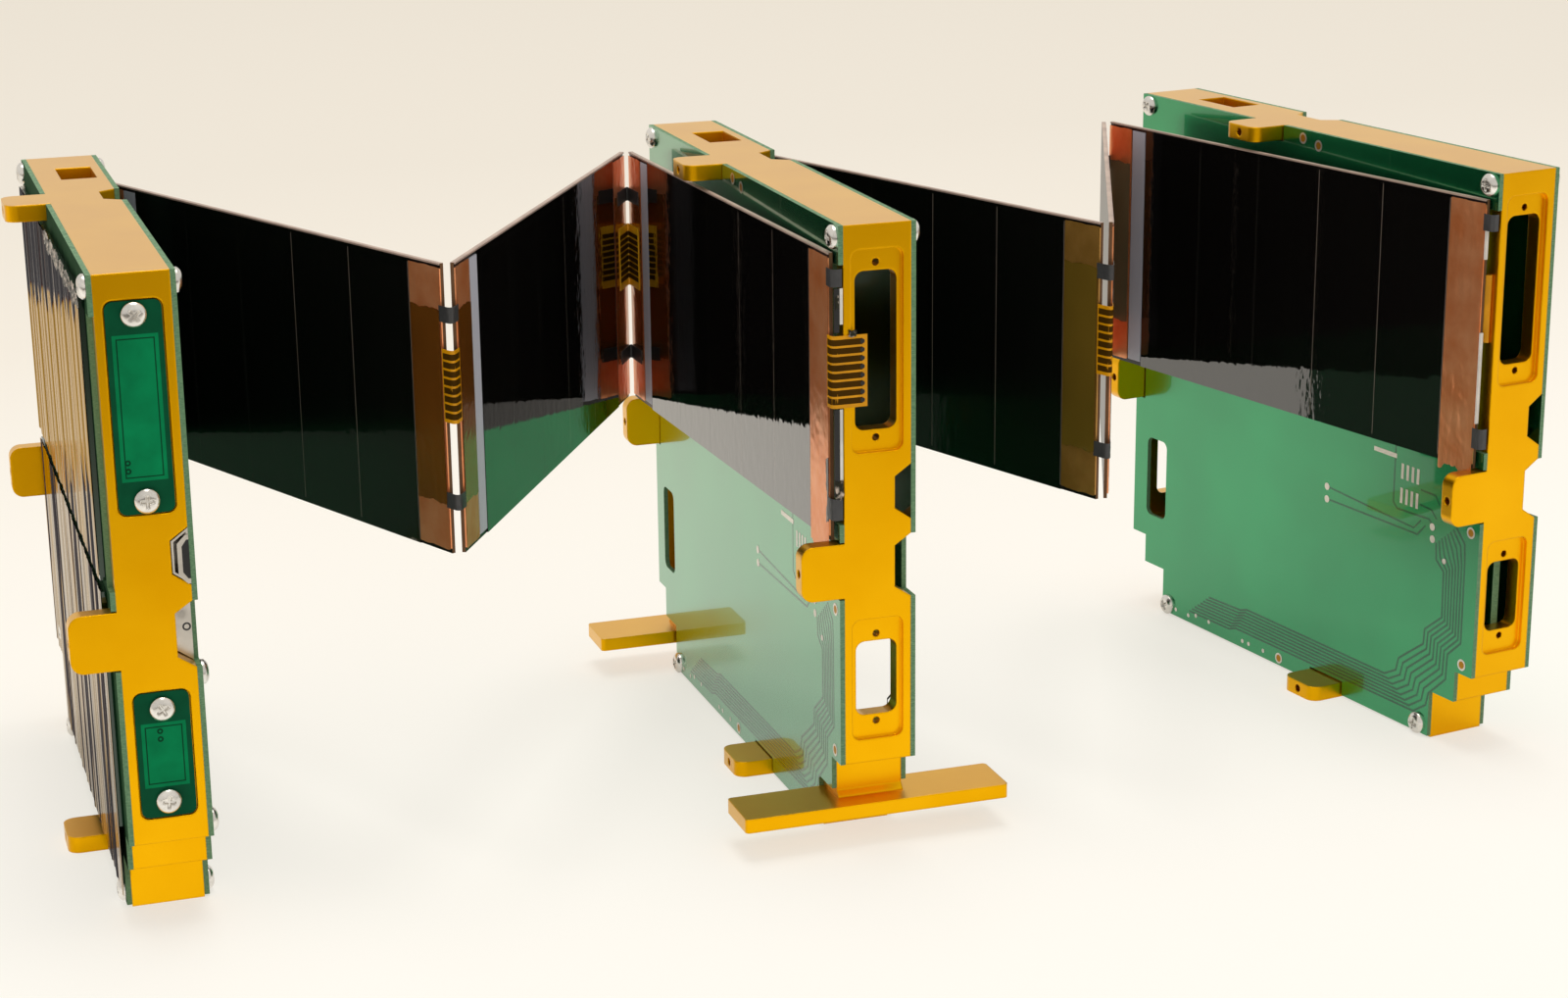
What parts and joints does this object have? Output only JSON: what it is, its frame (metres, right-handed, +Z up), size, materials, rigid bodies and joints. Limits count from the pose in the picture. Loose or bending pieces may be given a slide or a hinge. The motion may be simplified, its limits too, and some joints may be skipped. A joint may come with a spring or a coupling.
{
  "type": "folding satellite string",
  "caption": "Thin square satellites with gold frames and green boards, joined by fan-fold solar panels on hinges; the middle one stands on two rails.",
  "frame": {"origin": "on the floor under the centre of the middle satellite", "axes": "+X from the left satellite to the right one, +Y from the near edges to the far edges, +Z up"},
  "size_m": [0.2743, 0.1212, 0.1137],
  "materials": {
    "gold": "gold-coloured satin anodising",
    "green_board": "green solder resist",
    "steel": "plated sheet",
    "outer_cells": "glossy solar cells",
    "panel_board": "board with film",
    "cells": "glossy solar cells",
    "bus": "dull silver",
    "copper": "crinkled copper foil",
    "strap": "dark grey",
    "flex": "amber film"
  },
  "bodies": {
    "middle": {"middle_frame": "gold", "middle_rail_near": "gold", "middle_rail_far": "gold", "middle_board_left": "green_board", "middle_board_right": "green_board"},
    "left": {"left_frame": "gold", "left_board_left": "green_board", "left_board_right": "green_board", "left_covers": "green_board", "left_ports": "steel", "left_outer_upper": "outer_cells", "left_outer_lower": "outer_cells", "straps_left_a": "strap", "cable_left_a": "flex"},
    "right": {"right_frame": "gold", "right_board_left": "green_board", "right_board_right": "green_board", "right_inner_board": "green_board", "straps_f_right": "strap", "cable_f_right": "flex"},
    "panel_a": {"panel_a_board": "panel_board", "panel_a_cells": "cells", "panel_a_bus": "bus", "panel_a_copper": "copper", "straps_a_b": "strap", "cable_a_b": "flex"},
    "panel_b": {"panel_b_board": "panel_board", "panel_b_cells": "cells", "panel_b_bus": "bus", "panel_b_copper": "copper", "straps_b_c": "strap", "cable_b_c": "flex"},
    "panel_c": {"panel_c_board": "panel_board", "panel_c_cells": "cells", "panel_c_bus": "bus", "panel_c_copper": "copper", "straps_c_middle": "strap", "cable_c_middle": "flex"},
    "panel_d": {"panel_d_board": "panel_board", "panel_d_cells": "cells", "panel_d_bus": "bus", "panel_d_copper": "copper", "straps_middle_d": "strap", "cable_middle_d": "flex"},
    "panel_e": {"panel_e_board": "panel_board", "panel_e_cells": "cells", "panel_e_bus": "bus", "panel_e_copper": "copper", "straps_d_e": "strap", "cable_d_e": "flex"},
    "panel_f": {"panel_f_board": "panel_board", "panel_f_cells": "cells", "panel_f_bus": "bus", "panel_f_copper": "copper", "straps_e_f": "strap", "cable_e_f": "flex"}
  },
  "joints": [
    {"name": "middle_to_c", "type": "hinge", "parent": "middle", "child": "panel_c", "pos_m": [-0.0074, -0.0561, 0.0832], "axis": [0, 0, 1], "range_deg": [-2, 88], "deforming": ["straps_c_middle", "cable_c_middle"]},
    {"name": "c_to_b", "type": "hinge", "parent": "panel_c", "child": "panel_b", "pos_m": [-0.01236, 0.056, 0.0832], "axis": [0, 0, -1], "range_deg": [-32.8, 147.2], "deforming": ["straps_b_c", "cable_b_c"]},
    {"name": "b_to_a", "type": "hinge", "parent": "panel_b", "child": "panel_a", "pos_m": [-0.07085, -0.03977, 0.0832], "axis": [0, 0, 1], "range_deg": [-54.5, 125.5], "deforming": ["straps_a_b", "cable_a_b"]},
    {"name": "a_to_left", "type": "hinge", "parent": "panel_a", "child": "left", "pos_m": [-0.11691, 0.06255, 0.0832], "axis": [0, 0, -1], "range_deg": [-23.8, 66.2], "deforming": ["straps_left_a", "cable_left_a"]},
    {"name": "middle_to_d", "type": "hinge", "parent": "middle", "child": "panel_d", "pos_m": [0.0074, 0.0561, 0.0832], "axis": [0, 0, 1], "range_deg": [-20, 70], "deforming": ["straps_middle_d", "cable_middle_d"]},
    {"name": "d_to_e", "type": "hinge", "parent": "panel_d", "child": "panel_e", "pos_m": [0.04676, -0.04897, 0.0832], "axis": [0, 0, -1], "range_deg": [-43.9, 136.1], "deforming": ["straps_d_e", "cable_d_e"]},
    {"name": "e_to_f", "type": "hinge", "parent": "panel_e", "child": "panel_f", "pos_m": [0.09331, 0.05312, 0.0832], "axis": [0, 0, 1], "range_deg": [-37.7, 142.3], "deforming": ["straps_e_f", "cable_e_f"]},
    {"name": "f_to_right", "type": "hinge", "parent": "panel_f", "child": "right", "pos_m": [0.1211, -0.05559, 0.0832], "axis": [0, 0, -1], "range_deg": [-4.6, 85.4], "deforming": ["straps_f_right", "cable_f_right"]}
  ]
}
